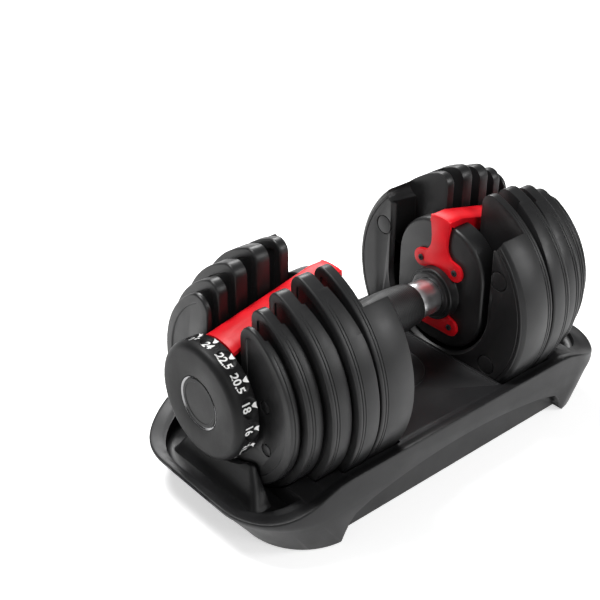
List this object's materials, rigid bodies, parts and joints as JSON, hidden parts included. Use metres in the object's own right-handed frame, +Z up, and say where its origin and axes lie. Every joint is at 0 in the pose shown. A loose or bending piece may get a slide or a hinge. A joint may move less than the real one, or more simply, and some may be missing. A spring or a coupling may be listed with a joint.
{
  "type": "adjustable dumbbell",
  "caption": "Adjustable dumbbell with a selector dial and horned, nesting plates at each end, resting in its moulded storage tray.",
  "frame": {"origin": "on the floor under the middle of the tray", "axes": "+X along the handle towards the far dial, +Z up, +Y across the tray"},
  "size_m": [0.424, 0.202, 0.2079],
  "materials": {
    "tray_plastic": "satin, finely grained moulded plastic",
    "foot_rubber": "matt",
    "grip_rubber": "matt rubber with a fine texture",
    "bare_steel": "turned steel",
    "plated_metal": "bright plating",
    "red_paint": "satin red powder coat",
    "black_screw": "black oxide",
    "core_steel": "plain steel, sealed in the jacket",
    "plate_jacket": "satin moulded plastic",
    "dial_plastic": "satin moulded plastic",
    "inner_plastic": "satin nylon",
    "black_plastic": "satin moulded plastic",
    "number_print": "white print on the dials"
  },
  "bodies": {
    "tray": {"base_tray": "tray_plastic", "rubber_feet": "foot_rubber"},
    "handle": {"axle_rod": "bare_steel", "handle_tube": "bare_steel", "grip_sleeve": "grip_rubber", "handle_collars": "plated_metal", "near_inner_disc": "black_plastic", "far_inner_disc": "black_plastic", "near_bridge": "red_paint", "far_bridge": "red_paint", "near_lower_bracket": "red_paint", "far_lower_bracket": "red_paint", "bracket_screws": "black_screw", "near_end_plate": "inner_plastic", "far_end_plate": "inner_plastic", "axle_nuts": "bare_steel", "near_lock_spring": "bare_steel", "far_lock_spring": "bare_steel"},
    "near_dial_group": {"near_dial": "dial_plastic", "near_dial_cap": "black_plastic", "near_dial_ring": "plated_metal", "near_selector_sleeve": "inner_plastic", "near_selector_1": "inner_plastic", "near_selector_2": "inner_plastic", "near_selector_3": "inner_plastic", "near_selector_4": "inner_plastic", "near_selector_5": "inner_plastic"},
    "near_lock": {"near_lock_slider": "bare_steel"},
    "near_plate_1": {"near_plate_1": "plate_jacket", "near_core_1": "core_steel"},
    "near_plate_2": {"near_plate_2": "plate_jacket", "near_core_2": "core_steel"},
    "near_plate_3": {"near_plate_3": "plate_jacket", "near_core_3": "core_steel"},
    "near_plate_4": {"near_plate_4": "plate_jacket", "near_core_4": "core_steel"},
    "near_plate_5": {"near_plate_5": "plate_jacket", "near_core_5": "core_steel"},
    "far_dial_group": {"far_dial": "dial_plastic", "far_dial_cap": "black_plastic", "far_dial_ring": "plated_metal", "far_selector_sleeve": "inner_plastic", "far_selector_1": "inner_plastic", "far_selector_2": "inner_plastic", "far_selector_3": "inner_plastic", "far_selector_4": "inner_plastic", "far_selector_5": "inner_plastic"},
    "far_lock": {"far_lock_slider": "bare_steel"},
    "far_plate_1": {"far_plate_1": "plate_jacket", "far_core_1": "core_steel"},
    "far_plate_2": {"far_plate_2": "plate_jacket", "far_core_2": "core_steel"},
    "far_plate_3": {"far_plate_3": "plate_jacket", "far_core_3": "core_steel"},
    "far_plate_4": {"far_plate_4": "plate_jacket", "far_core_4": "core_steel"},
    "far_plate_5": {"far_plate_5": "plate_jacket", "far_core_5": "core_steel"}
  },
  "joints": [
    {"name": "handle_lift", "type": "slide", "parent": "tray", "child": "handle", "axis": [0, 0, 1], "range_m": [0, 0.15]},
    {"name": "near_dial_turn", "type": "hinge", "parent": "handle", "child": "near_dial_group", "pos_m": [-0.19, 0, 0.112], "axis": [-1, 0, 0], "range_deg": [0, 336]},
    {"name": "near_lock_slide", "type": "slide", "parent": "handle", "child": "near_lock", "axis": [0, 0, -1], "range_m": [0, 0.004], "deforming": ["near_lock_spring"]},
    {"name": "near_plate_1_lift", "type": "slide", "parent": "tray", "child": "near_plate_1", "axis": [0, 0, 1], "range_m": [0, 0.15]},
    {"name": "near_plate_2_lift", "type": "slide", "parent": "tray", "child": "near_plate_2", "axis": [0, 0, 1], "range_m": [0, 0.15]},
    {"name": "near_plate_3_lift", "type": "slide", "parent": "tray", "child": "near_plate_3", "axis": [0, 0, 1], "range_m": [0, 0.15]},
    {"name": "near_plate_4_lift", "type": "slide", "parent": "tray", "child": "near_plate_4", "axis": [0, 0, 1], "range_m": [0, 0.15]},
    {"name": "near_plate_5_lift", "type": "slide", "parent": "tray", "child": "near_plate_5", "axis": [0, 0, 1], "range_m": [0, 0.15]},
    {"name": "far_dial_turn", "type": "hinge", "parent": "handle", "child": "far_dial_group", "pos_m": [0.19, 0, 0.112], "axis": [1, 0, 0], "range_deg": [0, 336]},
    {"name": "far_lock_slide", "type": "slide", "parent": "handle", "child": "far_lock", "axis": [0, 0, -1], "range_m": [0, 0.004], "deforming": ["far_lock_spring"]},
    {"name": "far_plate_1_lift", "type": "slide", "parent": "tray", "child": "far_plate_1", "axis": [0, 0, 1], "range_m": [0, 0.15]},
    {"name": "far_plate_2_lift", "type": "slide", "parent": "tray", "child": "far_plate_2", "axis": [0, 0, 1], "range_m": [0, 0.15]},
    {"name": "far_plate_3_lift", "type": "slide", "parent": "tray", "child": "far_plate_3", "axis": [0, 0, 1], "range_m": [0, 0.15]},
    {"name": "far_plate_4_lift", "type": "slide", "parent": "tray", "child": "far_plate_4", "axis": [0, 0, 1], "range_m": [0, 0.15]},
    {"name": "far_plate_5_lift", "type": "slide", "parent": "tray", "child": "far_plate_5", "axis": [0, 0, 1], "range_m": [0, 0.15]}
  ],
  "couplings": [
    {"joint": "near_lock_slide", "follows": "handle_lift", "ratio": 0.026667},
    {"joint": "near_plate_1_lift", "follows": "handle_lift", "ratio": 1},
    {"joint": "near_plate_2_lift", "follows": "handle_lift", "ratio": 1},
    {"joint": "near_plate_3_lift", "follows": "handle_lift", "ratio": 1},
    {"joint": "near_plate_4_lift", "follows": "handle_lift", "ratio": 1},
    {"joint": "near_plate_5_lift", "follows": "handle_lift", "ratio": 1},
    {"joint": "far_lock_slide", "follows": "handle_lift", "ratio": 0.026667},
    {"joint": "far_plate_1_lift", "follows": "handle_lift", "ratio": 1},
    {"joint": "far_plate_2_lift", "follows": "handle_lift", "ratio": 1},
    {"joint": "far_plate_3_lift", "follows": "handle_lift", "ratio": 1},
    {"joint": "far_plate_4_lift", "follows": "handle_lift", "ratio": 1},
    {"joint": "far_plate_5_lift", "follows": "handle_lift", "ratio": 1}
  ]
}
